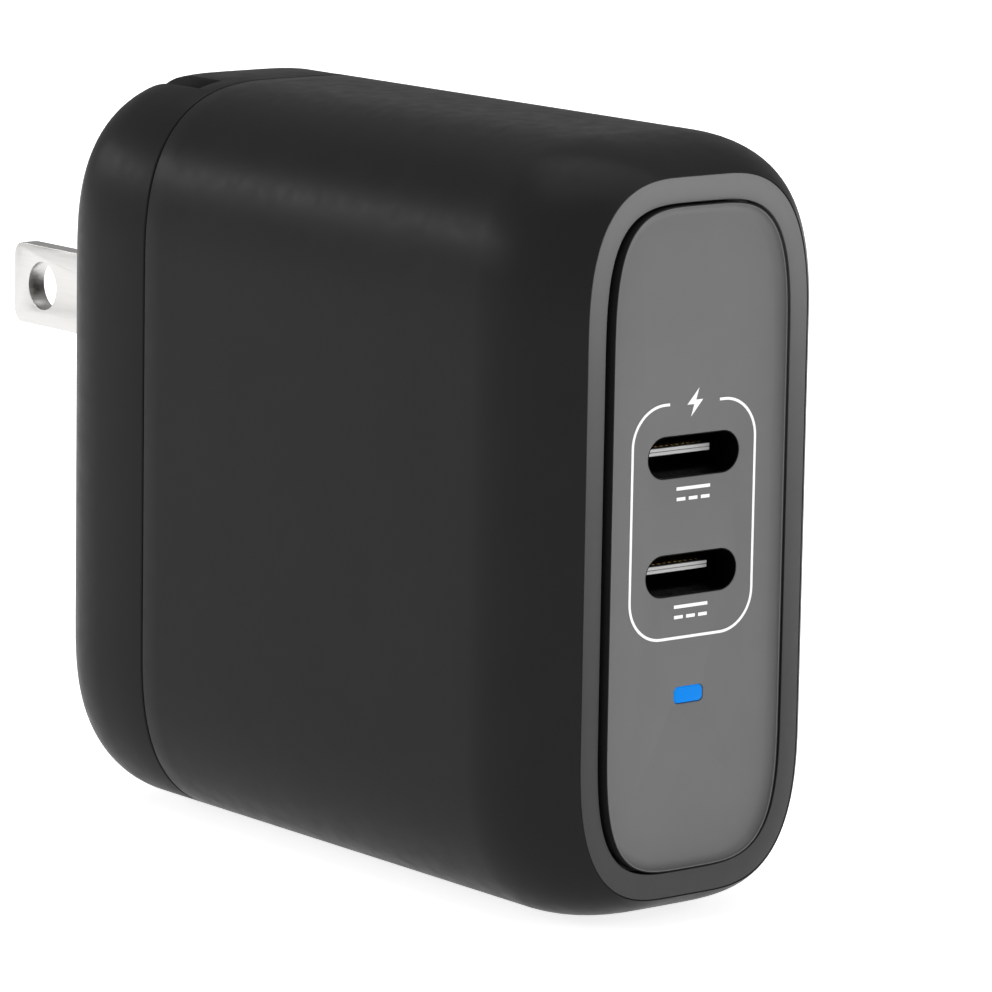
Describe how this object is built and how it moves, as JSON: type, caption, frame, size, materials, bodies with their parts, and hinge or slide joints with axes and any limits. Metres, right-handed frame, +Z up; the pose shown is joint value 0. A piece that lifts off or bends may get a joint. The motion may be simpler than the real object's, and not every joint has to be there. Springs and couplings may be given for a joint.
{
  "type": "usb wall charger",
  "caption": "Upright wall charger with a rounded case, inset front panel with stacked USB-C ports and status light, and flat prongs that fold up into the back.",
  "frame": {"origin": "centre of the flat wall face, the face that meets the outlet", "axes": "+Y out of the wall face along the unfolded prongs, ports towards -Y, +X across the width, +Z up"},
  "size_m": [0.0276, 0.0754, 0.0562],
  "materials": {
    "matte_black_housing": "fine matte texture",
    "satin_grey_bezel": "satin",
    "grey_panel": "smooth satin",
    "status_lens_blue": "translucent, lit",
    "nickel": "plated, satin",
    "black_nylon": "moulded",
    "spring_bronze": "rolled strip",
    "adhesive": "foam",
    "lead_red": "cable sleeve",
    "lead_white": "cable sleeve",
    "board_green": "solder mask",
    "black_shell": "drawn, black plated",
    "port_insert": "moulded",
    "led_body": "cast resin",
    "ferrite": "sintered",
    "copper_wire": "enamelled winding",
    "yellow_tape": "film tape",
    "capacitor_sleeve": "shrink sleeve",
    "capacitor_blue": "dipped",
    "film_capacitor_yellow": "moulded box",
    "epoxy_black": "moulded epoxy",
    "fuse_ceramic": "ceramic",
    "aluminium": "rolled sheet",
    "thermal_pad": "silicone",
    "insulation_film": "film"
  },
  "bodies": {
    "case": {"main_housing": "matte_black_housing", "rear_cover": "matte_black_housing", "front_bezel": "satin_grey_bezel", "front_panel": "grey_panel", "panel_adhesive_frame": "adhesive", "status_lens": "status_lens_blue", "usb_c_shell_upper": "black_shell", "usb_c_insert_upper": "port_insert", "usb_c_shell_lower": "black_shell", "usb_c_insert_lower": "port_insert", "pivot_pin": "nickel", "contact_spring_left": "spring_bronze", "contact_spring_right": "spring_bronze", "detent_spring": "spring_bronze", "pivot_retainer": "black_nylon", "contact_holder": "black_nylon", "lead_live": "lead_red", "lead_neutral": "lead_white", "main_pcb": "board_green", "port_pcb": "board_green", "status_led": "led_body", "port_controller": "epoxy_black", "output_inductor": "ferrite", "link_header": "black_nylon", "transformer_core_front": "ferrite", "transformer_core_rear": "ferrite", "transformer_bobbin": "black_nylon", "transformer_winding": "copper_wire", "transformer_tape": "yellow_tape", "bulk_capacitor_inner": "capacitor_sleeve", "bulk_capacitor_outer": "capacitor_sleeve", "output_capacitor_inner": "capacitor_sleeve", "output_capacitor_outer": "capacitor_sleeve", "x_capacitor": "film_capacitor_yellow", "y_capacitor": "capacitor_blue", "bridge_rectifier": "epoxy_black", "switching_transistor": "epoxy_black", "primary_controller": "epoxy_black", "optocoupler": "epoxy_black", "fuse": "fuse_ceramic", "input_choke_core": "ferrite", "input_choke_winding": "copper_wire", "heat_spreader": "aluminium", "thermal_pad": "thermal_pad", "insulation_sheet": "insulation_film"},
    "plug": {"prong_carrier": "black_nylon", "prong_left": "nickel", "prong_right": "nickel"}
  },
  "joints": [
    {"name": "plug_fold", "type": "hinge", "parent": "case", "child": "plug", "pos_m": [0, -0.0028, 0.0088], "axis": [1, 0, 0], "range_deg": [0, 90]}
  ]
}
